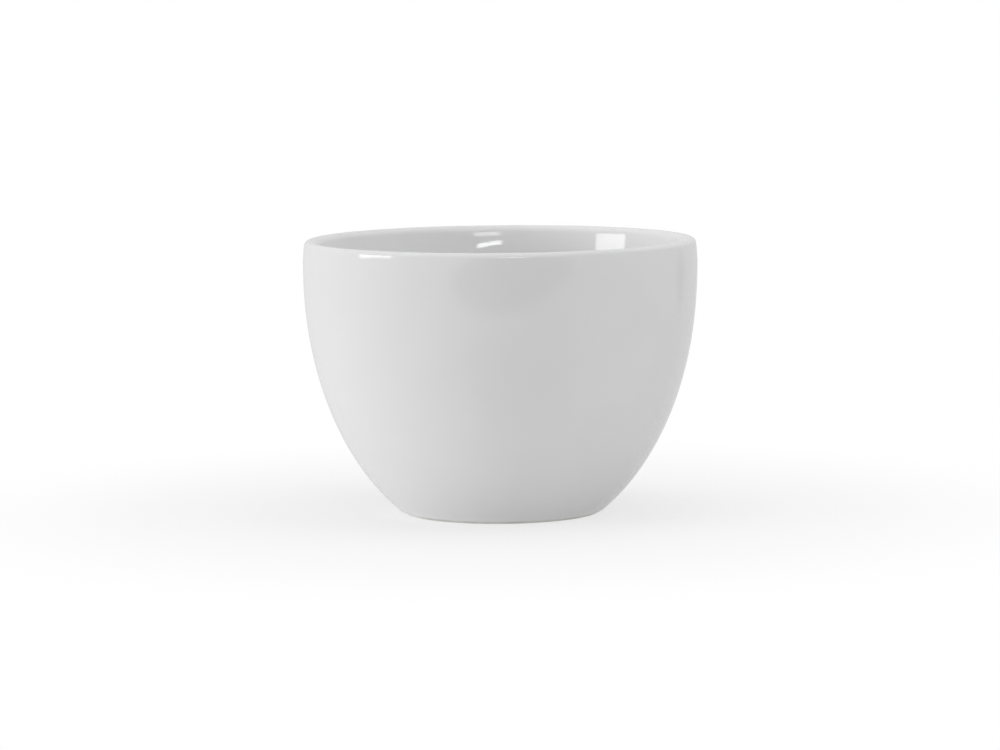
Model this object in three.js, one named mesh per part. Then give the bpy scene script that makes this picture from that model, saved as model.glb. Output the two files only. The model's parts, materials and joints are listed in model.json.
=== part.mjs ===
// A handleless bouillon bowl in glazed vitrified china: one fired body that holds the wall, the floor and the
// foot ring, a glaze coat over the outside, the lip and the inside, and a second coat in the hollow under the
// foot. The standing ring between the two coats is bare. Millimetres, +Z up, with the origin at the centre of
// the standing ring, on the table.
import * as THREE from "three";

// Outside form, measured over the glaze
const RIM_DIAMETER = 92; // widest, just under the lip
const HEIGHT = 64; // table to the crown of the lip
const FOOT_DIAMETER = 46.4; // where the line of the wall would meet the table
const FLARE_ANGLE = 50; // degrees that the wall leans from the vertical where it leaves the foot
const FLARE_HOLD = 0.307; // share of its rise over which the wall keeps to that lean
const PLUMB_HOLD = 0.445; // share of its rise over which the wall comes plumb below the lip

// Lip
const LIP_OUTER_DEPTH = 6; // height over which the outside leans in to the lip
const LIP_INNER_DEPTH = 11; // height over which the inside leans out to it
const LIP_OUTER_LEAN = 7; // degrees that the outside leans from the vertical where the lip's round starts
const LIP_INNER_LEAN = 13; // the same inside
const LIP_OUTER_RADIUS = 1.2;
const LIP_INNER_RADIUS = 1.9;

// Wall and floor
const WALL_UNDER_LIP = 4.5;
const WALL_AT_FOOT = 4.8;
const FLOOR_THICKNESS = 5; // between the glaze in the bowl and the glaze under it
const FLOOR_FILLET = 20; // inside, between floor and wall

// Foot
const STANDING_WIDTH = 3; // flat of the bare ring that stands on the table
const FOOT_CORNER_RADIUS = 0.8; // both edges of the standing ring
const WELL_DEPTH = 2.2; // hollow inside the foot ring
const WELL_DRAFT = 30; // degrees that the inside of the foot ring leans from the vertical
const WELL_FILLET = 1.2; // between the foot ring and the underside of the floor

// Glaze
const GLAZE_THICKNESS = 0.3;
const GLAZE_LINE = 0.5; // height above the table where the glaze was wiped off the foot

// Facets
const FACETS_AROUND = 60;
const WALL_STEPS = 8;
const TAPER_STEPS = 2;
const ARC_STEPS = 4;
const CORNER_STEPS = 3;

const GLAZED_WHITE = new THREE.MeshStandardMaterial({ color: 0xe9e9e8, roughness: 0.08, metalness: 0 });
const BARE_CHINA = new THREE.MeshStandardMaterial({ color: 0xdcd9d2, roughness: 0.7, metalness: 0 });

const point = (r, z) => new THREE.Vector2(r, z);
const radians = THREE.MathUtils.degToRad;

// Unit vector that leans the given degrees outwards from straight up.
const leaning = (degrees) => point(Math.sin(radians(degrees)), Math.cos(radians(degrees)));

// The point that lies a given depth to the left of a curve, square to it. Every outline here runs with the
// china on its left, so the left is always into the material.
function insetPoint(curve, t, depth) {
  const along = curve.getTangent(t);
  return curve.getPoint(t).add(point(-along.y, along.x).multiplyScalar(depth));
}

// A stretch of another curve, moved to its left by a depth that varies along it.
class InsetCurve extends THREE.Curve {
  constructor(base, depthAt, from, to) {
    super();
    Object.assign(this, { base, depthAt, from, to });
  }

  getPoint(t) {
    const along = THREE.MathUtils.lerp(this.from, this.to, t);
    return insetPoint(this.base, along, this.depthAt(along));
  }
}

// The place between 0 and 1 where a rising function passes zero, by halving.
function crossing(rising) {
  let low = 0;
  let high = 1;
  for (let i = 0; i < 50; i += 1) {
    const middle = (low + high) / 2;
    if (rising(middle) < 0) low = middle;
    else high = middle;
  }
  return (low + high) / 2;
}

// The arc that rounds a corner between two straight runs, tangent to both.
function cornerArc(before, corner, after, radius) {
  const back = before.clone().sub(corner).normalize();
  const ahead = after.clone().sub(corner).normalize();
  const halfAngle = Math.acos(back.dot(ahead)) / 2;
  const toCentre = back.clone().add(ahead).setLength(radius / Math.sin(halfAngle));
  const centre = corner.clone().add(toCentre);
  const reach = radius / Math.tan(halfAngle);
  const from = corner.clone().addScaledVector(back, reach).sub(centre).angle();
  const to = corner.clone().addScaledVector(ahead, reach).sub(centre).angle();
  const turnsRight = back.cross(ahead) > 0;
  return new THREE.EllipseCurve(centre.x, centre.y, radius, radius, from, to, turnsRight);
}

// Points along a chain of curves, each moved the same depth into the material.
function trace(chain, depth) {
  const points = chain.flatMap(([curve, steps]) =>
    Array.from({ length: steps }, (_, i) => insetPoint(curve, i / steps, depth)),
  );
  const [lastCurve] = chain.at(-1);
  return [...points, insetPoint(lastCurve, 1, depth)];
}

// Outside of the wall, over the glaze: from the glaze line at the foot up to where it starts to lean in.
function outerWall() {
  const start = leaning(FLARE_ANGLE)
    .multiplyScalar(GLAZE_LINE / Math.cos(radians(FLARE_ANGLE)))
    .add(point(FOOT_DIAMETER / 2, 0));
  const end = point(RIM_DIAMETER / 2, HEIGHT - LIP_OUTER_DEPTH);
  const rise = end.y - start.y;
  const startHandle = start.clone().addScaledVector(leaning(FLARE_ANGLE), FLARE_HOLD * rise);
  const endHandle = end.clone().sub(point(0, PLUMB_HOLD * rise));
  return new THREE.CubicBezierCurve(start, startHandle, endHandle, end);
}

// All that the main glaze coat covers: up the outside, over the lip, down the inside and across the floor.
function coatChain() {
  const outside = outerWall();
  const wallTop = outside.getPoint(1);
  const outerLean = radians(LIP_OUTER_LEAN);
  const innerLean = radians(LIP_INNER_LEAN);

  // The outside leans in by a parabola that starts plumb, and the lip's round takes it over to the crown.
  const roundStart = HEIGHT - LIP_OUTER_RADIUS * (1 - Math.sin(outerLean));
  const halfRise = (roundStart - wallTop.y) / 2;
  const outerTaper = new THREE.QuadraticBezierCurve(
    wallTop,
    point(wallTop.x, wallTop.y + halfRise),
    point(wallTop.x - halfRise * Math.tan(outerLean), roundStart),
  );
  const crownRadius = outerTaper.getPoint(1).x - LIP_OUTER_RADIUS * Math.cos(outerLean);
  const lipOutside = new THREE.EllipseCurve(
    crownRadius, HEIGHT - LIP_OUTER_RADIUS, LIP_OUTER_RADIUS, LIP_OUTER_RADIUS, outerLean, Math.PI / 2,
  );
  const lipInside = new THREE.EllipseCurve(
    crownRadius, HEIGHT - LIP_INNER_RADIUS, LIP_INNER_RADIUS, LIP_INNER_RADIUS,
    Math.PI / 2, Math.PI - innerLean,
  );

  // The inside follows the outside at a wall thickness that grows from the lip to the foot.
  const wallAt = (t) => THREE.MathUtils.lerp(WALL_AT_FOOT, WALL_UNDER_LIP, t);
  const floorHeight = WELL_DEPTH + FLOOR_THICKNESS;
  const filletCentreAt = (t) => insetPoint(outside, t, wallAt(t) + FLOOR_FILLET);
  const filletEnd = crossing((t) => filletCentreAt(t).y - (floorHeight + FLOOR_FILLET));
  const taperEnd = crossing((t) => insetPoint(outside, t, wallAt(t)).y - (HEIGHT - LIP_INNER_DEPTH));
  const inside = new InsetCurve(outside, wallAt, taperEnd, filletEnd);

  // The lip's inner taper, tangent to its round above and to the wall below.
  const taperTop = lipInside.getPoint(1);
  const taperBottom = inside.getPoint(0);
  const handle = taperTop.distanceTo(taperBottom) / 3;
  const innerTaper = new THREE.CubicBezierCurve(
    taperTop,
    taperTop.clone().addScaledVector(leaning(LIP_INNER_LEAN), -handle),
    taperBottom.clone().addScaledVector(inside.getTangent(0), -handle),
    taperBottom,
  );

  const filletCentre = filletCentreAt(filletEnd);
  const filletTop = inside.getPoint(1).sub(filletCentre);
  const fillet = new THREE.EllipseCurve(
    filletCentre.x, filletCentre.y, FLOOR_FILLET, FLOOR_FILLET, filletTop.angle(), -Math.PI / 2, true,
  );
  const floor = new THREE.LineCurve(point(filletCentre.x, floorHeight), point(0, floorHeight));
  return [
    [outside, WALL_STEPS],
    [outerTaper, TAPER_STEPS],
    [lipOutside, ARC_STEPS],
    [lipInside, ARC_STEPS],
    [innerTaper, TAPER_STEPS],
    [inside, WALL_STEPS],
    [fillet, ARC_STEPS],
    [floor, 1],
  ];
}

// All that the coat under the foot covers: out from the axis and down the inside of the foot ring.
function wellChain(ringInnerEdge) {
  const ceilingCentre = point(0, WELL_DEPTH);
  const up = leaning(-WELL_DRAFT);
  const sideFoot = ringInnerEdge.clone().addScaledVector(up, GLAZE_LINE / up.y);
  const ceilingEdge = ringInnerEdge.clone().addScaledVector(up, WELL_DEPTH / up.y);
  const fillet = cornerArc(ceilingCentre, ceilingEdge, sideFoot, WELL_FILLET);
  return [
    [new THREE.LineCurve(ceilingCentre, fillet.getPoint(0)), 1],
    [fillet, CORNER_STEPS],
    [new THREE.LineCurve(fillet.getPoint(1), sideFoot), 1],
  ];
}

// Revolves a profile that starts and ends on the axis. A coat's profile runs clockwise, so that it has
// the same facets as the body where they meet, and its faces are turned round afterwards.
function revolve(profile) {
  const geometry = new THREE.LatheGeometry(profile, FACETS_AROUND).rotateX(Math.PI / 2);
  if (THREE.ShapeUtils.isClockWise(profile)) geometry.setIndex([...geometry.index.array].reverse());
  geometry.computeVertexNormals();
  return geometry;
}

function piece(name, profile, material) {
  const mesh = new THREE.Mesh(revolve(profile), material);
  mesh.name = name;
  return mesh;
}

// The standing ring's two corners on the table, before they are rounded. The outer one lies on the line of
// the wall's bare china, which is one glaze thickness inside the glazed wall.
const glazeShift = GLAZE_THICKNESS / Math.cos(radians(FLARE_ANGLE));
const outerTurn = radians(90 - FLARE_ANGLE) / 2;
const innerTurn = radians(90 - WELL_DRAFT) / 2;
const cornerReach = FOOT_CORNER_RADIUS * (Math.tan(outerTurn) + Math.tan(innerTurn));
const ringOuter = point(FOOT_DIAMETER / 2 - glazeShift, 0);
const ringInner = point(ringOuter.x - cornerReach - STANDING_WIDTH, 0);
const wellGlazeEdge = point(ringInner.x - GLAZE_THICKNESS / Math.cos(radians(WELL_DRAFT)), 0);

const coat = coatChain();
const well = wellChain(wellGlazeEdge);
const coatOnBody = trace(coat, GLAZE_THICKNESS);
const wellOnBody = trace(well, GLAZE_THICKNESS);
const innerCorner = cornerArc(wellOnBody.at(-1), ringInner, ringOuter, FOOT_CORNER_RADIUS);
const outerCorner = cornerArc(ringInner, ringOuter, coatOnBody[0], FOOT_CORNER_RADIUS);
const standingFlat = new THREE.LineCurve(innerCorner.getPoint(1), outerCorner.getPoint(0));
const standingRing = trace(
  [
    [innerCorner, CORNER_STEPS],
    [standingFlat, 1],
    [outerCorner, CORNER_STEPS],
  ],
  0,
);

const bowl = new THREE.Group();
bowl.add(piece("china_body", [...wellOnBody, ...standingRing, ...coatOnBody], BARE_CHINA));
bowl.add(piece("glaze_coat", [...trace(coat, 0).reverse(), ...coatOnBody], GLAZED_WHITE));
bowl.add(piece("foot_well_glaze", [...wellOnBody, ...trace(well, 0).reverse()], GLAZED_WHITE));

export default bowl;
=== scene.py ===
"""A white glazed bouillon bowl for its picture: fired china, two coats of glaze and a plain studio."""

import json
import math

import bpy
import numpy as np
from bpy.props import FloatProperty, FloatVectorProperty, PointerProperty
from mathutils import Euler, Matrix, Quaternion, Vector

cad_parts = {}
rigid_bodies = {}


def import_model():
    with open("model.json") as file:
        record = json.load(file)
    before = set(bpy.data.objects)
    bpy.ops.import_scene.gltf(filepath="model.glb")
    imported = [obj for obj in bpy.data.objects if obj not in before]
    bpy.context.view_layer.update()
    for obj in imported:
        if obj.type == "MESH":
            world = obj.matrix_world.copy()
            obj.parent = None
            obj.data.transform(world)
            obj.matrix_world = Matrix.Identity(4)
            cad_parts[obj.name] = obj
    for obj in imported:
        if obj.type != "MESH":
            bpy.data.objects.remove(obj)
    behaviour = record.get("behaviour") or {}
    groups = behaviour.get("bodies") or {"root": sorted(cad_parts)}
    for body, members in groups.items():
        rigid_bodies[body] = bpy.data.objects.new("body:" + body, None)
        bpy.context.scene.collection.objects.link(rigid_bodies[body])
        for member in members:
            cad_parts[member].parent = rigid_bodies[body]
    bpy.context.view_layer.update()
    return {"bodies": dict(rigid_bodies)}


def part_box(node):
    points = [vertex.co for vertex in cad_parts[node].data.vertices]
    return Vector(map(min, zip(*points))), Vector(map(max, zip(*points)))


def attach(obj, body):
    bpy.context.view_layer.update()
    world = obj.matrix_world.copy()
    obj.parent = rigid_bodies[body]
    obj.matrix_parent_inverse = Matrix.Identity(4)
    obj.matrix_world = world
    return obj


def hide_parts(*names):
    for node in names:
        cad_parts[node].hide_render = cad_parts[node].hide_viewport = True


bl_info = {
    "name": "Bouillon bowl",
    "version": (1, 0, 0),
    "blender": (4, 5, 0),
    "location": "View3D > Sidebar > Bowl",
    "description": "Makes a glazed china bouillon bowl on its packed frame, and a plain studio round it",
    "category": "Add Mesh",
}

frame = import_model()
(BODY,) = frame["bodies"]
COAT_LOW, COAT_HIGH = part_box("glaze_coat")
_, CHINA_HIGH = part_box("china_body")
_, WELL_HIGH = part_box("foot_well_glaze")
GLAZE = COAT_HIGH.z - CHINA_HIGH.z
MM = 0.001

# How the points of a profile are spread: the longest step and the largest turn from one to the next
FINE_STEPS = {"longest": 1.6 * MM, "turn": math.radians(4)}
COARSE_STEPS = {"longest": 6 * MM, "turn": math.radians(12)}
FOOT_STEPS = {"longest": 0.4 * MM, "turn": math.radians(6)}

# Angles that carry a profile round the axis
AROUND = 384
TURN = np.arange(AROUND) * 2 * math.pi / AROUND

# Points at which each run of a profile is worked out, before they are spread by those steps
RUN_POINTS = 120
WALL_POINTS = 900
INSIDE_POINTS = 700
INNER_TAPER_POINTS = 160
FLOOR_FILLET_POINTS = 400
FLOOR_POINTS = 200
BARE_POINTS = 20
BEAD_POINTS = 12
SEARCH_POINTS = 2000

# Where the face of the glaze goes on past its rolled edge, in thicknesses of the glaze
BEAD_REACH = 1.05

# Slow waves of the fired glaze
RIPPLE_SEED = 11
RIPPLE_WAVES = 14
RIPPLE_LOBES = (3, 20)
RIPPLE_LENGTHS = (16 * MM, 48 * MM)
RIPPLE_AXIS_FADE = 20 * MM
RIPPLE_EDGE_FADE = 4 * MM

# Real sizes of the patterns in the finishes. Real grit is finer and is drawn coarse enough to show.
CLOUD_SIZE = 22 * MM
PEEL_SIZE = 1.8 * MM
PEEL_HEIGHT = 0.006 * MM
GRIT_SIZE = 0.35 * MM
GRIT_HEIGHT = 0.03 * MM
RUBBED_SIZE = 6 * MM

# How the finishes shine: refraction, and the glaze's least and most roughness as shares of its setting
GLAZE_IOR = 1.52
CHINA_IOR = 1.5
GLAZE_SHEEN = (0.8, 1.3)

# The floor, from the bowl's axis: its edge, where its shade thins to white, and where its glow changes
FLOOR_REACH = 4.0
VEIL_FADE = (40 * MM, 150 * MM)
GLOW_SIDE = 60 * MM
FOOT_GLOW_FADE = (23 * MM, 27 * MM)

# Picture width in pixels, sensor width in millimetres, and the camera's shift in picture widths
IMAGE_WIDTH = 1000
SENSOR_WIDTH = 36
CAMERA_SHIFT = -0.0011

# Lamps, each named as the setting that holds its brightness. Angles are in degrees, azimuth from the
# front to the right, and distances are from the middle of the rim. Fade is the share of each side over
# which a lamp dims towards its edge.
LAMPS = {
    "key_softbox": dict(azimuth=-78, elevation=11.4, distance=3.0, size=(1.39, 0.75), spin=6, fade=0.12),
    "front_strip": dict(azimuth=7, elevation=15.2, distance=1.3, size=(0.48, 0.068), spin=-6, fade=0.18),
    "upper_strip": dict(azimuth=8.5, elevation=22, distance=1.3, size=(0.5, 0.1), spin=-1, fade=0.18),
    "left_panel": dict(azimuth=-90, elevation=5, distance=1.2, size=(0.8, 0.22), mirrored=False),
    "right_card": dict(azimuth=78, elevation=45, distance=1.2, size=(1.0, 0.7), mirrored=False),
    "top_card": dict(azimuth=0, elevation=90, distance=1.2, size=(0.9, 0.9), mirrored=False),
}

# Dark sheets that are seen only in the glaze, as painted dark reflections. Reach is half their width and
# height, depth is how dark they are at the core, and core is the share of the reach that it takes up.
SHADES = {
    "front_shade": dict(
        centre=(30 * MM, -188 * MM, 59 * MM),
        reach=(142 * MM, 45 * MM),
        turned=(0, math.radians(-6), 0),
        depth=1.0,
        core=0.72,
    ),
    "side_shade": dict(
        centre=(234 * MM, 141 * MM, 36 * MM),
        reach=(38 * MM, 42 * MM),
        turned=(0, 0, math.radians(133)),
        depth=0.34,
        core=0.2,
    ),
}


# Settings


def linear(hex_colour):
    """Linear red, green and blue of an sRGB hex colour."""
    parts = np.array([int(hex_colour[i : i + 2], 16) for i in (1, 3, 5)]) / 255
    return tuple(np.where(parts <= 0.04045, parts / 12.92, ((parts + 0.055) / 1.055) ** 2.4))


def length(name, description, default):
    """A setting in metres."""
    return FloatProperty(
        name=name, description=description, default=default, min=0, subtype="DISTANCE", precision=5
    )


def angle(name, description, degrees):
    """A setting in radians, given in degrees."""
    default = math.radians(degrees)
    return FloatProperty(name=name, description=description, default=default, subtype="ANGLE")


def factor(name, description, default):
    """A setting between nothing and all."""
    return FloatProperty(
        name=name, description=description, default=default, min=0, max=1, subtype="FACTOR"
    )


def number(name, description, default):
    """A plain setting that isn't negative."""
    return FloatProperty(name=name, description=description, default=default, min=0)


def colour(name, description, hex_colour):
    """A colour, given as sRGB hex."""
    default = linear(hex_colour)
    return FloatVectorProperty(
        name=name, description=description, default=default, size=3, min=0, max=1, subtype="COLOR"
    )


class BowlForm(bpy.types.PropertyGroup):
    """Sizes of the bowl, measured over its glaze"""

    rim_diameter: length("Rim diameter", "Widest, at the top of the wall", COAT_HIGH.x - COAT_LOW.x)
    height: length("Height", "Table to the crown of the lip", COAT_HIGH.z)
    foot_diameter: length("Foot diameter", "Where the line of the wall would meet the table", 46.4 * MM)
    flare_angle: angle("Flare", "Lean of the wall from the vertical where it leaves the foot", 50)
    flare_hold: factor("Flare hold", "Share of its rise over which the wall keeps to that lean", 0.307)
    plumb_hold: factor("Plumb hold", "Share of its rise over which the wall comes plumb", 0.445)
    lip_outer_depth: length("Outer lip depth", "Height over which the outside leans in", 6 * MM)
    lip_inner_depth: length("Inner lip depth", "Height over which the inside leans out", 11 * MM)
    lip_outer_lean: angle("Outer lean", "Lean of the outside where the lip's round starts", 7)
    lip_inner_lean: angle("Inner lean", "Lean of the inside where the lip's round starts", 13)
    lip_outer_radius: length("Outer lip radius", "Round of the lip outside its crown", 1.2 * MM)
    lip_inner_radius: length("Inner lip radius", "Round of the lip inside its crown", 1.9 * MM)
    wall_under_lip: length("Wall under the lip", "Thickness of the wall below the lip", 4.5 * MM)
    wall_at_foot: length("Wall at the foot", "Thickness of the wall where it leaves the foot", 4.8 * MM)
    floor_thickness: length("Floor", "Thickness of the floor between its two glazed faces", 5 * MM)
    floor_fillet: length("Floor fillet", "Round between the floor and the wall, inside", 20 * MM)
    standing_width: length("Standing width", "Flat of the bare ring that stands on the table", 3 * MM)
    foot_corner_radius: length("Foot corner", "Round of both edges of the standing ring", 0.8 * MM)
    well_depth: length("Well depth", "Hollow inside the foot ring", WELL_HIGH.z - GLAZE)
    well_draft: angle("Well draft", "Lean of the foot ring's inside from the vertical", 30)
    well_fillet: length("Well fillet", "Round between the foot ring and the underside", 1.2 * MM)
    glaze_thickness: length("Glaze", "Thickness of the glaze", GLAZE)
    glaze_line: length("Glaze line", "Height above the table where the glaze stops", COAT_LOW.z)


class BowlFinish(bpy.types.PropertyGroup):
    """Colours and surface of the glaze and of the bare china"""

    glaze_white: colour("Glaze", "White of the china under its clear glaze", "#EEEEEE")
    glaze_shade: colour("Thick glaze", "The same where the glaze lies a little thicker", "#ECECEC")
    glaze_roughness: factor("Glaze roughness", "Roughness of the fired glaze", 0.03)
    ripple_height: length("Ripple", "Height of the glaze's slow waves", 0.012 * MM)
    bare_white: colour("Bare china", "Fired china without glaze", "#DEDCD8")
    bare_shade: colour("Worn china", "The same where the table has rubbed it", "#D0CEC9")


class BowlStudio(bpy.types.PropertyGroup):
    """The camera, the brightness of the lamps and the room, and the floor"""

    camera_distance: length("Camera distance", "Camera to the middle of the bowl", 1.0)
    camera_elevation: angle("Camera elevation", "Height of the camera above the horizon", 6)
    camera_roll: angle("Camera roll", "Turn of the camera about its line of sight", -0.5)
    pixels_per_mm: number("Scale", "Pixels of the picture to a millimetre of the bowl", 4.274)
    key_softbox: number("Key softbox", "Brightness of the softbox on the left", 5.3)
    front_strip: number("Front strip", "Brightness of the strip lamp above the camera", 9.6)
    upper_strip: number("Upper strip", "Brightness of the dimmer strip above that", 4.2)
    left_panel: number("Left panel", "Brightness of the low panel on the left", 7.4)
    right_card: number("Right card", "Brightness of the white card on the right", 1.37)
    top_card: number("Top card", "Brightness of the white card overhead", 2.1)
    ambient: number("Ambient", "Brightness of the room where it lights the bowl", 0.321)
    mirrored: number("Mirrored", "Brightness of the room where the glaze mirrors it", 0.75)
    floor_white: colour("Floor", "White of the floor", "#F2F2F2")
    floor_veil: factor("Floor veil", "Share of plain white in the floor beside the bowl", 0.66)
    # Painted glow: the floor emits light onto the bowl, more on the left and most at the foot
    glow_left: factor("Left glow", "Share of plain white in what the floor throws up on the left", 0.49)
    glow_right: factor("Right glow", "The same on the right", 0.02)
    glow_at_foot: factor("Foot glow", "What is added to it where the floor meets the foot", 0.33)


# Curves of the profile. A point is a radius and a height, and every run has the china on its left.


def leaning(lean):
    """Unit vector that leans outwards from straight up: the sine and the cosine of the angle."""
    return np.array([math.sin(lean), math.cos(lean)])


def bezier(controls, t):
    """Bezier curve: the sum of its control points, each weighed by its Bernstein polynomial at t."""
    last = len(controls) - 1
    t = np.asarray(t)[:, None]
    return sum(math.comb(last, k) * t**k * (1 - t) ** (last - k) * p for k, p in enumerate(controls))


def to_left(heading):
    """Unit vectors a quarter turn to the left of the given headings."""
    turned = np.stack([-heading[..., 1], heading[..., 0]], -1)
    return turned / np.linalg.norm(turned, axis=-1, keepdims=True)


def inset(run, depth):
    """The run moved into the china, square to itself, by the given depth."""
    return run + to_left(np.gradient(run, axis=0)) * depth


def arc(centre, radius, start, end, count=RUN_POINTS):
    """Circular arc: the centre plus the radius times cosine and sine of angles spread evenly."""
    turn = np.linspace(start, end, count)
    return np.asarray(centre) + radius * np.stack([np.cos(turn), np.sin(turn)], -1)


def line(start, end, count=RUN_POINTS):
    """Straight run of evenly spread points."""
    return np.linspace(start, end, count)


def rounded(before, corner, after, radius):
    """Arc that rounds a corner and touches both sides: its centre is on the line that halves them."""
    back, ahead = (side / np.linalg.norm(side) for side in (before - corner, after - corner))
    half = math.acos(back @ ahead) / 2
    middle = (back + ahead) / np.linalg.norm(back + ahead)
    centre = corner + middle * radius / math.sin(half)
    start, end = (side * radius / math.tan(half) + corner - centre for side in (back, ahead))
    turn = math.atan2(start[0] * end[1] - start[1] * end[0], start @ end)
    first = math.atan2(start[1], start[0])
    return arc(centre, radius, first, first + turn)


def joined(*runs):
    """Runs end to end, with the points that two of them share kept once."""
    return np.vstack([*(run[:-1] for run in runs[:-1]), runs[-1]])


def travelled(run):
    """Length of the run from its start to each of its points: the sum of its steps."""
    return np.cumsum(np.hypot(*np.diff(run, axis=0, prepend=run[:1]).T))


def resampled(run, longest, turn):
    """The same curve with its points spread evenly by a measure: its length over the longest step, plus
    its bend over the largest turn. They lie closer where it bends."""
    step = np.diff(run, axis=0)
    heading = np.unwrap(np.arctan2(step[:, 1], step[:, 0]))
    bend = np.abs(np.diff(heading, prepend=heading[0]))
    measure = np.concatenate([[0], np.cumsum(np.hypot(*step.T) / longest + bend / turn)])
    places = np.linspace(0, measure[-1], math.ceil(measure[-1]) + 1)
    return np.stack([np.interp(places, measure, run[:, i]) for i in (0, 1)], -1)


def wall_controls(form):
    """Control points of the wall's outside, from the glaze line to where the lip starts to lean in: the
    second lies ahead on the flare and the third below the last, by their shares of the rise."""
    flare = leaning(form.flare_angle)
    start = np.array([form.foot_diameter / 2, 0]) + flare * form.glaze_line / flare[1]
    end = np.array([form.rim_diameter / 2, form.height - form.lip_outer_depth])
    rise = end[1] - start[1]
    ahead = start + flare * form.flare_hold * rise
    below = end - [0, form.plumb_hold * rise]
    return np.array([start, ahead, below, end])


def lip_runs(form, wall_top):
    """The lip above the outside of the wall: a parabola from plumb to its outer lean, an arc up to the
    crown, and an arc down to its inner lean, both with their centres straight below the crown."""
    round_start = form.height - form.lip_outer_radius * (1 - math.sin(form.lip_outer_lean))
    half_rise = (round_start - wall_top[1]) / 2
    lean_in = half_rise * math.tan(form.lip_outer_lean)
    controls = wall_top + np.array([[0, 0], [0, half_rise], [-lean_in, 2 * half_rise]])
    taper = bezier(controls, np.linspace(0, 1, RUN_POINTS))
    crown = controls[-1][0] - form.lip_outer_radius * math.cos(form.lip_outer_lean)
    outer_centre = (crown, form.height - form.lip_outer_radius)
    inner_centre = (crown, form.height - form.lip_inner_radius)
    outer_round = arc(outer_centre, form.lip_outer_radius, form.lip_outer_lean, math.pi / 2)
    inner_round = arc(inner_centre, form.lip_inner_radius, math.pi / 2, math.pi - form.lip_inner_lean)
    return taper, outer_round, inner_round


def inside_runs(form, controls):
    """The inside below the lip: the outside's curve moved in, square to itself, by a thickness that
    changes evenly along it, an arc that touches it and the floor, and the floor straight to the
    axis."""
    slopes = 3 * np.diff(controls, axis=0)

    def moved_in(t, extra):
        """The outside's curve at t, moved in by the wall's thickness there and something more."""
        thickness = form.wall_at_foot + (form.wall_under_lip - form.wall_at_foot) * t + extra
        return bezier(controls, t) + to_left(bezier(slopes, t)) * thickness[:, None]

    floor_height = form.well_depth + form.floor_thickness
    along = np.linspace(0, 1, SEARCH_POINTS)
    centre_heights = moved_in(along, form.floor_fillet)[:, 1]
    low_end = np.interp(floor_height + form.floor_fillet, centre_heights, along)
    high_end = np.interp(form.height - form.lip_inner_depth, moved_in(along, 0)[:, 1], along)
    wall = moved_in(np.linspace(high_end, low_end, INSIDE_POINTS), 0)

    centre = moved_in(np.array([low_end]), form.floor_fillet)[0]
    to_wall = wall[-1] - centre
    first = math.atan2(to_wall[1], to_wall[0])
    fillet = arc(centre, form.floor_fillet, first, -math.pi / 2, FLOOR_FILLET_POINTS)
    floor = line((centre[0], floor_height), (0, floor_height), FLOOR_POINTS)
    return wall, fillet, floor


def coat_run(form):
    """Face of the main glaze coat: the wall's Bezier curve, the lip, a Bezier curve that leaves the lip
    at its inner lean and runs into the wall, and the inside down to the middle of the floor."""
    controls = wall_controls(form)
    outside = bezier(controls, np.linspace(0, 1, WALL_POINTS))
    lip = lip_runs(form, controls[-1])
    inside = inside_runs(form, controls)

    top = lip[-1][-1]
    bottom, next_down = inside[0][:2]
    handle = np.linalg.norm(top - bottom) / 3
    down_lip = -leaning(form.lip_inner_lean)
    down_wall = (next_down - bottom) / np.linalg.norm(next_down - bottom)
    taper_controls = [top, top + down_lip * handle, bottom - down_wall * handle, bottom]
    taper = bezier(taper_controls, np.linspace(0, 1, INNER_TAPER_POINTS))
    return joined(outside, *lip, taper, *inside)


def ring_corners(form):
    """The standing ring's inner and outer corners on the table, before they are rounded. Between them
    are its flat and, for each corner, the radius of the round times the tangent of half its turn."""
    reach = sum(math.tan((math.pi / 2 - lean) / 2) for lean in (form.flare_angle, form.well_draft))
    outer = form.foot_diameter / 2 - form.glaze_thickness / math.cos(form.flare_angle)
    inner = outer - form.foot_corner_radius * reach - form.standing_width
    return np.array([inner, 0.0]), np.array([outer, 0.0])


def well_run(form):
    """Face of the coat under the foot: straight out from the axis, round a fillet and straight down the
    inside of the foot ring."""
    inner, _ = ring_corners(form)
    edge = inner - [form.glaze_thickness / math.cos(form.well_draft), 0]
    up = leaning(-form.well_draft)
    middle = np.array([0.0, form.well_depth])
    corner = edge + up * form.well_depth / up[1]
    foot = edge + up * form.glaze_line / up[1]
    fillet = rounded(middle, corner, foot, form.well_fillet)
    return joined(line(middle, fillet[0]), fillet, line(fillet[-1], foot))


def bare_run(form, start, end):
    """Face of the bare foot between the two coats: straight down the ring's inside, round its inner
    corner, along the table, round its outer corner and straight up to the wall."""
    inner, outer = ring_corners(form)
    inner_round = rounded(start, inner, outer, form.foot_corner_radius)
    outer_round = rounded(inner, outer, end, form.foot_corner_radius)
    down = line(start, inner_round[0], BARE_POINTS)
    flat = line(inner_round[-1], outer_round[0], BARE_POINTS)
    up = line(outer_round[-1], end, BARE_POINTS)
    return joined(down, inner_round, flat, outer_round, up)


def under_glaze(run, form):
    """Face of the china under a coat: the coat's face, moved in by its thickness, in coarse steps."""
    return resampled(inset(run, form.glaze_thickness), **COARSE_STEPS)


def with_bead(run, thickness, side=1):
    """The run with its first stretch rolled down to the china, on its left (1) or right (-1): a quarter
    round with the glaze's thickness as its radius."""
    along = run[1] - run[0]
    along /= np.linalg.norm(along)
    inward = side * to_left(along)
    turn = np.linspace(0, math.pi / 2, BEAD_POINTS)[:, None]
    centre = run[0] + (along + inward) * thickness
    bead = centre - thickness * (np.cos(turn) * along + np.sin(turn) * inward)
    return np.vstack([bead, run[travelled(run) > thickness * BEAD_REACH]])


# Surfaces of revolution


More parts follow.
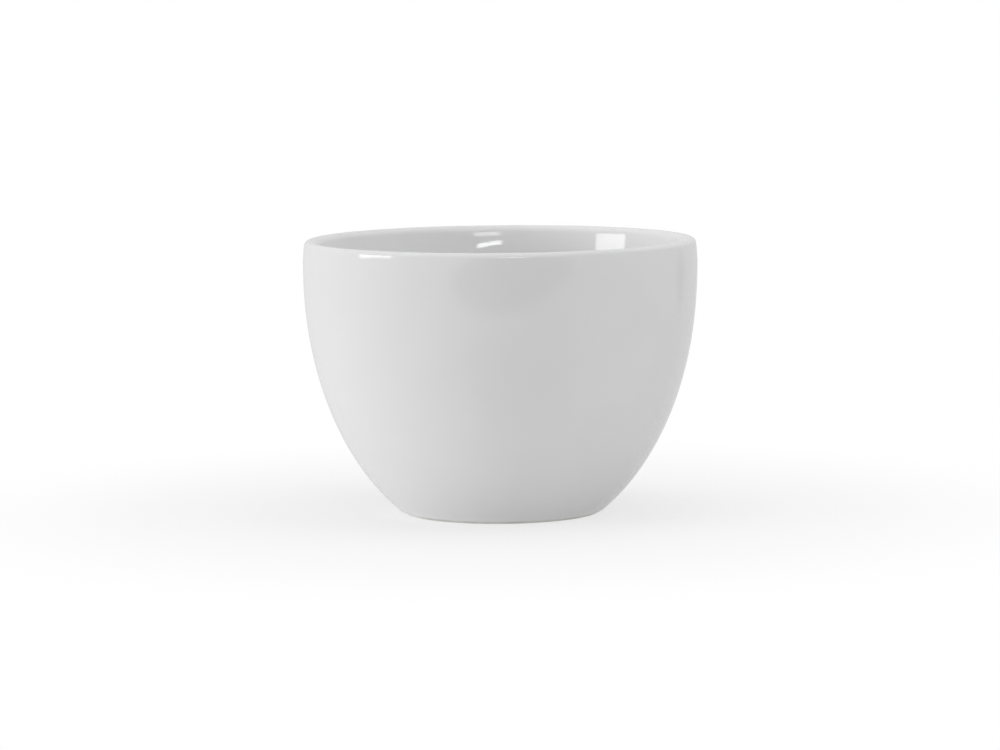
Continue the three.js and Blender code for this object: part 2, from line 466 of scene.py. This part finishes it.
def ripple(run, height):
    """Slow waves of the fired glaze: a sum of cosines round the bowl and along its profile, each
    divided by the root of its number of lobes. They fade out towards the axis and the glaze's edge."""
    draw = np.random.default_rng(RIPPLE_SEED)
    place = travelled(run)
    waves = np.zeros((len(run), AROUND))
    for _ in range(RIPPLE_WAVES):
        lobes = draw.integers(*RIPPLE_LOBES)
        wave_length = draw.uniform(*RIPPLE_LENGTHS)
        phase = 2 * math.pi * (place / wave_length + draw.uniform())
        waves += np.cos(phase[:, None] + lobes * TURN) / math.sqrt(lobes)
    fade = np.clip(run[:, 0] / RIPPLE_AXIS_FADE, 0, 1) * np.clip(place / RIPPLE_EDGE_FADE, 0, 1)
    return height * fade[:, None] * waves


def revolved(name, profile, lift=0.0):
    """A closed surface of revolution: each point of the profile, moved outwards and square to it by the
    lift, gives a ring whose x and y are its radius times the sine and minus the cosine of the turn. The
    profile's two ends are on the axis, and a fan of triangles closes the surface at each."""
    lift = np.broadcast_to(lift, (len(profile), AROUND))
    outward = -to_left(np.gradient(profile, axis=0))
    rings = (profile[:, None] + outward[:, None] * lift[..., None])[1:-1]
    radius = rings[..., 0]
    points = np.stack([radius * np.sin(TURN), -radius * np.cos(TURN), rings[..., 1]], -1)
    ends = [[0, 0, profile[0, 1]], [0, 0, profile[-1, 1]]]
    points = np.vstack([points.reshape(-1, 3), ends])

    index = np.arange(radius.size).reshape(radius.shape)
    beside = np.roll(index, -1, axis=1)
    quads = np.stack([index[:-1], beside[:-1], beside[1:], index[1:]], -1)
    start_fan = np.stack([np.full(AROUND, radius.size), beside[0], index[0]], -1)
    end_fan = np.stack([np.full(AROUND, radius.size + 1), index[-1], beside[-1]], -1)
    corners = np.concatenate([quads.ravel(), start_fan.ravel(), end_fan.ravel()])
    sizes = np.repeat([4, 3], [quads.size // 4, 2 * AROUND])
    starts = np.cumsum(sizes) - sizes

    mesh = bpy.data.meshes.new(name)
    mesh.vertices.add(len(points))
    mesh.vertices.foreach_set("co", points.astype(np.float32).ravel())
    mesh.loops.add(len(corners))
    mesh.loops.foreach_set("vertex_index", corners.astype(np.int32))
    mesh.polygons.add(len(sizes))
    mesh.polygons.foreach_set("loop_start", starts.astype(np.int32))
    mesh.polygons.foreach_set("use_smooth", np.ones(len(sizes), bool))
    mesh.update(calc_edges=True)
    mesh.validate()
    piece = bpy.data.objects.new(name, mesh)
    bpy.context.scene.collection.objects.link(piece)
    return piece


def seat(piece, node, material):
    """Gives a piece its finish and puts it in the place of the CAD node that it stands for."""
    piece.data.materials.append(material)
    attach(piece, BODY)
    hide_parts(node)


# Materials


def add_node(tree, kind, sockets=None, **settings):
    """Adds a node with its settings, and gives each named socket a value or links it to another."""
    node = tree.nodes.new(kind)
    for name, value in settings.items():
        setattr(node, name, value)
    for name, value in (sockets or {}).items():
        if isinstance(value, bpy.types.NodeSocket):
            tree.links.new(value, node.inputs[name])
        else:
            node.inputs[name].default_value = value
    return node


def new_material(name):
    """An empty node material, its tree, and the place of each point in the bowl's frame, in metres."""
    material = bpy.data.materials.new(name)
    material.use_nodes = True
    tree = material.node_tree
    tree.nodes.clear()
    place = add_node(tree, "ShaderNodeTexCoord").outputs["Object"]
    return material, tree, place


def glossy_china_glaze(finish):
    """Clear glaze fired on white vitrified china. The eye sees an even, faintly grey white under a hard
    glassy shine, with slow clouds where the glaze lies thicker, and a trace of orange peel that softens
    the edges of reflections."""
    material, tree, place = new_material("glossy_china_glaze")
    clouds = add_node(
        tree, "ShaderNodeTexNoise",
        {"Vector": place, "Scale": 1 / CLOUD_SIZE, "Detail": 2.0, "Roughness": 0.5},
    )
    cloud_share = add_node(
        tree, "ShaderNodeMapRange",
        {"Value": clouds.outputs["Fac"], "From Min": 0.35, "From Max": 0.65},
        interpolation_type="SMOOTHSTEP",
    )
    white = add_node(
        tree, "ShaderNodeMix",
        {
            "Factor": cloud_share.outputs["Result"],
            "A": (*finish.glaze_white, 1),
            "B": (*finish.glaze_shade, 1),
        },
        data_type="RGBA",
    )
    peel = add_node(
        tree, "ShaderNodeTexNoise",
        {"Vector": place, "Scale": 1 / PEEL_SIZE, "Detail": 1.0, "Roughness": 0.4},
    )
    skin = add_node(
        tree, "ShaderNodeBump",
        {"Height": peel.outputs["Fac"], "Strength": 0.25, "Distance": PEEL_HEIGHT},
    )
    sheen = add_node(
        tree, "ShaderNodeMapRange",
        {
            "Value": clouds.outputs["Fac"],
            "From Min": 0.3,
            "From Max": 0.7,
            "To Min": finish.glaze_roughness * GLAZE_SHEEN[0],
            "To Max": finish.glaze_roughness * GLAZE_SHEEN[1],
        },
    )
    shader = add_node(
        tree, "ShaderNodeBsdfPrincipled",
        {
            "Base Color": white.outputs["Result"],
            "Roughness": sheen.outputs["Result"],
            "IOR": GLAZE_IOR,
            "Normal": skin.outputs["Normal"],
        },
    )
    add_node(tree, "ShaderNodeOutputMaterial", {"Surface": shader.outputs["BSDF"]})
    return material


def bare_fired_china(finish):
    """Vitrified china without glaze, wiped and then ground flat. The eye sees a matt warm white with
    fine grit, and a greyer, smoother shade in patches where tables have rubbed the standing ring."""
    material, tree, place = new_material("bare_fired_china")
    grit = add_node(
        tree, "ShaderNodeTexNoise",
        {"Vector": place, "Scale": 1 / GRIT_SIZE, "Detail": 3.0, "Roughness": 0.6},
    )
    rubbed = add_node(
        tree, "ShaderNodeTexNoise",
        {"Vector": place, "Scale": 1 / RUBBED_SIZE, "Detail": 3.0, "Roughness": 0.6},
    )
    rubbed_share = add_node(
        tree, "ShaderNodeMapRange",
        {"Value": rubbed.outputs["Fac"], "From Min": 0.42, "From Max": 0.62},
        interpolation_type="SMOOTHSTEP",
    )
    white = add_node(
        tree, "ShaderNodeMix",
        {
            "Factor": rubbed_share.outputs["Result"],
            "A": (*finish.bare_white, 1),
            "B": (*finish.bare_shade, 1),
        },
        data_type="RGBA",
    )
    speckle = add_node(
        tree, "ShaderNodeMapRange",
        {"Value": grit.outputs["Fac"], "From Min": 0.3, "From Max": 0.7, "To Min": 0.9, "To Max": 1.05},
    )
    speckled = add_node(
        tree, "ShaderNodeVectorMath",
        {0: white.outputs["Result"], "Scale": speckle.outputs["Result"]},
        operation="SCALE",
    )
    sheen = add_node(
        tree, "ShaderNodeMapRange",
        {"Value": rubbed_share.outputs["Result"], "To Min": 0.75, "To Max": 0.55},
    )
    skin = add_node(
        tree, "ShaderNodeBump",
        {"Height": grit.outputs["Fac"], "Strength": 0.6, "Distance": GRIT_HEIGHT},
    )
    shader = add_node(
        tree, "ShaderNodeBsdfPrincipled",
        {
            "Base Color": speckled.outputs["Vector"],
            "Roughness": sheen.outputs["Result"],
            "IOR": CHINA_IOR,
            "Normal": skin.outputs["Normal"],
        },
    )
    add_node(tree, "ShaderNodeOutputMaterial", {"Surface": shader.outputs["BSDF"]})
    return material


def white_paper_floor(studio):
    """Matt white paper. Beside the bowl the eye sees its own shade thinned with white, so the shadow
    stays, and further out plain white, as the room behind it is. The paper also glows, a painted light
    from below on the bowl: stronger on the left than on the right, and strongest at the foot, where it
    lifts the contact shadow."""
    material, tree, place = new_material("white_paper_floor")
    rays = add_node(tree, "ShaderNodeLightPath").outputs
    away = add_node(tree, "ShaderNodeVectorMath", {0: place}, operation="LENGTH")
    veil = add_node(
        tree, "ShaderNodeMapRange",
        {
            "Value": away.outputs["Value"],
            "From Min": VEIL_FADE[0],
            "From Max": VEIL_FADE[1],
            "To Min": studio.floor_veil,
            "To Max": 1.0,
        },
        interpolation_type="SMOOTHSTEP",
    )
    seen = add_node(
        tree, "ShaderNodeMath",
        {0: rays["Is Camera Ray"], 1: rays["Is Glossy Ray"]},
        operation="MAXIMUM",
    )
    seen_white = add_node(
        tree, "ShaderNodeMath",
        {0: veil.outputs["Result"], 1: seen.outputs[0]},
        operation="MULTIPLY",
    )
    # Painted glow of the floor that lights the bowl from below, stronger on the left and at the foot
    side = add_node(tree, "ShaderNodeSeparateXYZ", {"Vector": place})
    side_glow = add_node(
        tree, "ShaderNodeMapRange",
        {
            "Value": side.outputs["X"],
            "From Min": -GLOW_SIDE,
            "From Max": GLOW_SIDE,
            "To Min": studio.glow_left,
            "To Max": studio.glow_right,
        },
        interpolation_type="SMOOTHSTEP",
    )
    foot_glow = add_node(
        tree, "ShaderNodeMapRange",
        {
            "Value": away.outputs["Value"],
            "From Min": FOOT_GLOW_FADE[0],
            "From Max": FOOT_GLOW_FADE[1],
            "To Min": studio.glow_at_foot,
            "To Max": 0.0,
        },
    )
    glow = add_node(
        tree, "ShaderNodeMath",
        {0: side_glow.outputs["Result"], 1: foot_glow.outputs["Result"]},
        operation="ADD",
    )
    share = add_node(
        tree, "ShaderNodeMath",
        {0: seen_white.outputs[0], 1: glow.outputs[0]},
        operation="MAXIMUM",
    )
    strength = add_node(
        tree, "ShaderNodeMath",
        {0: rays["Is Camera Ray"], 1: 1 - studio.mirrored, 2: studio.mirrored},
        operation="MULTIPLY_ADD",
    )
    paper = add_node(tree, "ShaderNodeBsdfDiffuse", {"Color": (*studio.floor_white, 1)})
    white = add_node(tree, "ShaderNodeEmission", {"Strength": strength.outputs[0]})
    mixed = add_node(
        tree, "ShaderNodeMixShader",
        {0: share.outputs[0], 1: paper.outputs[0], 2: white.outputs[0]},
    )
    add_node(tree, "ShaderNodeOutputMaterial", {"Surface": mixed.outputs[0]})
    return material


def painted_dark_reflection(name, centre, reach, turned, depth, core):
    """A painted dark reflection. The eye sees it only in the glaze, as a soft oval. Its share falls from
    the core to nothing where the distance from the centre, over the reach, is one."""
    material, tree, place = new_material(name)
    centred = add_node(
        tree, "ShaderNodeMapping",
        {"Vector": place, "Location": centre, "Rotation": turned, "Scale": (reach[0], 1, reach[1])},
        vector_type="TEXTURE",
    )
    away = add_node(tree, "ShaderNodeVectorMath", {0: centred.outputs["Vector"]}, operation="LENGTH")
    share = add_node(
        tree, "ShaderNodeMapRange",
        {
            "Value": away.outputs["Value"],
            "From Min": core,
            "From Max": 1.0,
            "To Min": depth,
            "To Max": 0.0,
        },
        interpolation_type="SMOOTHSTEP",
    )
    dark = add_node(tree, "ShaderNodeEmission", {"Strength": 0.0})
    clear = add_node(tree, "ShaderNodeBsdfTransparent")
    mixed = add_node(
        tree, "ShaderNodeMixShader",
        {0: share.outputs["Result"], 1: clear.outputs[0], 2: dark.outputs[0]},
    )
    add_node(tree, "ShaderNodeOutputMaterial", {"Surface": mixed.outputs[0]})
    return material


def white_room(studio):
    """The world: plain white to the camera, a little greyer in the glaze, and dimmer as a light."""
    world = bpy.data.worlds.new("white_room")
    bpy.context.scene.world = world
    world.use_nodes = True
    tree = world.node_tree
    tree.nodes.clear()
    rays = add_node(tree, "ShaderNodeLightPath").outputs
    unseen = add_node(
        tree, "ShaderNodeMath",
        {0: rays["Is Glossy Ray"], 1: studio.mirrored - studio.ambient, 2: studio.ambient},
        operation="MULTIPLY_ADD",
    )
    strength = add_node(
        tree, "ShaderNodeMath",
        {0: rays["Is Camera Ray"], 1: 1 - studio.ambient, 2: unseen.outputs[0]},
        operation="MULTIPLY_ADD",
    )
    room = add_node(
        tree, "ShaderNodeBackground",
        {"Color": (1, 1, 1, 1), "Strength": strength.outputs[0]},
    )
    add_node(tree, "ShaderNodeOutputWorld", {"Surface": room.outputs[0]})


# Studio


def direction(azimuth, elevation):
    """Unit vector from the bowl, by degrees of azimuth from the front to the right and elevation."""
    a = math.radians(azimuth)
    e = math.radians(elevation)
    return Vector((math.sin(a) * math.cos(e), -math.cos(a) * math.cos(e), math.sin(e)))


def fade_at_edges(lamp, share):
    """Lets a lamp dim over a share of each side: the product of two smooth steps, one across and one up
    it. Parametric runs from 0 to 1 over a side, and folded at a half it is the way to the edge."""
    lamp.use_nodes = True
    tree = lamp.node_tree
    tree.nodes.clear()
    place = add_node(tree, "ShaderNodeNewGeometry").outputs["Parametric"]
    split = add_node(tree, "ShaderNodeSeparateXYZ", {"Vector": place})
    steps = []
    for side in ("X", "Y"):
        to_edge = add_node(
            tree, "ShaderNodeMath",
            {0: split.outputs[side], 1: 0.5},
            operation="PINGPONG",
        )
        step = add_node(
            tree, "ShaderNodeMapRange",
            {"Value": to_edge.outputs[0], "From Max": share},
            interpolation_type="SMOOTHSTEP",
        )
        steps.append(step.outputs["Result"])
    strength = add_node(tree, "ShaderNodeMath", {0: steps[0], 1: steps[1]}, operation="MULTIPLY")
    glow = add_node(tree, "ShaderNodeEmission", {"Strength": strength.outputs[0]})
    add_node(tree, "ShaderNodeOutputLight", {"Surface": glow.outputs[0]})


def softbox(name, radiance, azimuth, elevation, distance, size, spin=0, fade=0, mirrored=True):
    """Rectangular lamp that faces the middle of the rim. Its power is its radiance times pi times its
    area. One that only fills in the shade is left out of the glaze's reflections."""
    wide, tall = size
    lamp = bpy.data.lights.new(name, "AREA")
    lamp.shape = "RECTANGLE"
    lamp.size = wide
    lamp.size_y = tall
    lamp.energy = radiance * math.pi * wide * tall
    if fade:
        fade_at_edges(lamp, fade)
    towards = direction(azimuth, elevation)
    spun = Quaternion((0, 0, 1), math.radians(spin))
    holder = bpy.data.objects.new(name, lamp)
    holder.location = towards * distance + Vector((0, 0, COAT_HIGH.z))
    holder.rotation_euler = (towards.to_track_quat("Z", "Y") @ spun).to_euler()
    holder.visible_camera = False
    holder.visible_glossy = mirrored
    bpy.context.scene.collection.objects.link(holder)


def flat_sheet(name, centre, across, up, material):
    """A flat stage piece: its centre, plus and minus half its width and half its height."""
    corners = [centre + i * across + k * up for i, k in ((-1, -1), (1, -1), (1, 1), (-1, 1))]
    mesh = bpy.data.meshes.new(name)
    mesh.from_pydata(corners, [], [(0, 1, 2, 3)])
    mesh.materials.append(material)
    sheet = bpy.data.objects.new(name, mesh)
    bpy.context.scene.collection.objects.link(sheet)
    return sheet


def paper_floor(studio):
    """The floor, square and level with the table."""
    across = Vector((FLOOR_REACH, 0, 0))
    deep = Vector((0, FLOOR_REACH, 0))
    flat_sheet("floor", Vector(), across, deep, white_paper_floor(studio))


def dark_sheet(name, form):
    """A dark sheet, turned about its centre, that no ray but a reflected one sees: a painted dark
    reflection in the glaze.
    """
    stance = Euler(form["turned"]).to_matrix()
    wide, tall = form["reach"]
    across = stance @ Vector((wide, 0, 0))
    up = stance @ Vector((0, 0, tall))
    sheet = flat_sheet(name, Vector(form["centre"]), across, up, painted_dark_reflection(name, **form))
    for ray in ("camera", "diffuse", "shadow", "transmission"):
        setattr(sheet, f"visible_{ray}", False)


def aim_camera(studio, form):
    """Camera in front of the bowl and a little above it, aimed at half its height. Its lens gives the
    picture's scale: the sensor's width, times pixels to a millimetre, times the distance in
    millimetres, over the picture's width in pixels."""
    camera = bpy.data.cameras.new("camera")
    camera.sensor_width = SENSOR_WIDTH
    camera.lens = SENSOR_WIDTH * studio.pixels_per_mm * studio.camera_distance / MM / IMAGE_WIDTH
    camera.shift_x = CAMERA_SHIFT
    back = direction(0, math.degrees(studio.camera_elevation))
    roll = Quaternion((0, 0, 1), studio.camera_roll)
    holder = bpy.data.objects.new("camera", camera)
    holder.location = Vector((0, 0, form.height / 2)) + back * studio.camera_distance
    holder.rotation_mode = "QUATERNION"
    holder.rotation_quaternion = (-back).to_track_quat("-Z", "Y") @ roll
    bpy.context.scene.collection.objects.link(holder)
    bpy.context.scene.camera = holder


# Operators and panel


class SetStage(bpy.types.Operator):
    """Set the floor, the white room, the lamps, the dark sheets and the camera"""

    bl_idname = "bowl.set_stage"
    bl_label = "Studio"

    def execute(self, context):
        scene = context.scene
        studio = scene.bowl_studio
        scene.view_settings.view_transform = "Standard"
        white_room(studio)
        paper_floor(studio)
        for name, form in LAMPS.items():
            softbox(name, getattr(studio, name), **form)
        for name, form in SHADES.items():
            dark_sheet(name, form)
        aim_camera(studio, scene.bowl_form)
        return {"FINISHED"}


class MakeChinaBody(bpy.types.Operator):
    """Make the fired china: wall, floor and foot ring in one piece, bare on its standing ring"""

    bl_idname = "bowl.make_china_body"
    bl_label = "China body"

    def execute(self, context):
        form = context.scene.bowl_form
        well = under_glaze(well_run(form), form)
        coat = under_glaze(coat_run(form), form)
        foot = resampled(bare_run(form, well[-1], coat[0]), **FOOT_STEPS)
        piece = revolved("fired_china", joined(well, foot, coat))
        seat(piece, "china_body", bare_fired_china(context.scene.bowl_finish))
        return {"FINISHED"}


class MakeGlazeCoats(bpy.types.Operator):
    """Make the two coats of glaze: the main one, and the one in the hollow under the foot"""

    bl_idname = "bowl.make_glaze_coats"
    bl_label = "Glaze coats"

    def execute(self, context):
        form = context.scene.bowl_form
        finish = context.scene.bowl_finish
        glaze = glossy_china_glaze(finish)

        run = coat_run(form)
        face = with_bead(resampled(run, **FINE_STEPS), form.glaze_thickness)
        back = under_glaze(run, form)[:0:-1]
        lift = np.vstack([np.zeros((len(back), AROUND)), ripple(face, finish.ripple_height)])
        piece = revolved("glaze_over_bowl", np.vstack([back, face]), lift)
        seat(piece, "glaze_coat", glaze)

        run = well_run(form)
        face = with_bead(resampled(run, **FINE_STEPS)[::-1], form.glaze_thickness, -1)[::-1]
        back = under_glaze(run, form)[-2::-1]
        piece = revolved("glaze_under_foot", np.vstack([face, back]))
        seat(piece, "foot_well_glaze", glaze)
        return {"FINISHED"}


class BowlPanel(bpy.types.Panel):
    """Lists what makes the bowl and its studio, with the settings of each"""

    bl_idname = "VIEW3D_PT_bouillon_bowl"
    bl_label = "Bouillon bowl"
    bl_space_type = "VIEW_3D"
    bl_region_type = "UI"
    bl_category = "Bowl"

    def draw(self, context):
        for maker in MAKERS:
            self.layout.operator(maker.bl_idname)
        for name, group in GROUPS.items():
            box = self.layout.box()
            box.label(text=group.__doc__)
            for setting in group.__annotations__:
                box.prop(getattr(context.scene, name), setting)


GROUPS = {"bowl_form": BowlForm, "bowl_finish": BowlFinish, "bowl_studio": BowlStudio}
MAKERS = (SetStage, MakeChinaBody, MakeGlazeCoats)
CLASSES = (*GROUPS.values(), *MAKERS, BowlPanel)


def register():
    """Adds the classes to Blender and the settings to its scenes."""
    for kind in CLASSES:
        bpy.utils.register_class(kind)
    for name, group in GROUPS.items():
        setattr(bpy.types.Scene, name, PointerProperty(type=group))


def unregister():
    """Takes the settings and the classes away again."""
    for name in GROUPS:
        delattr(bpy.types.Scene, name)
    for kind in reversed(CLASSES):
        bpy.utils.unregister_class(kind)


def main():
    """Makes the studio and the bowl."""
    register()
    bpy.ops.bowl.set_stage()
    bpy.ops.bowl.make_china_body()
    bpy.ops.bowl.make_glaze_coats()


if __name__ == "__main__":
    main()
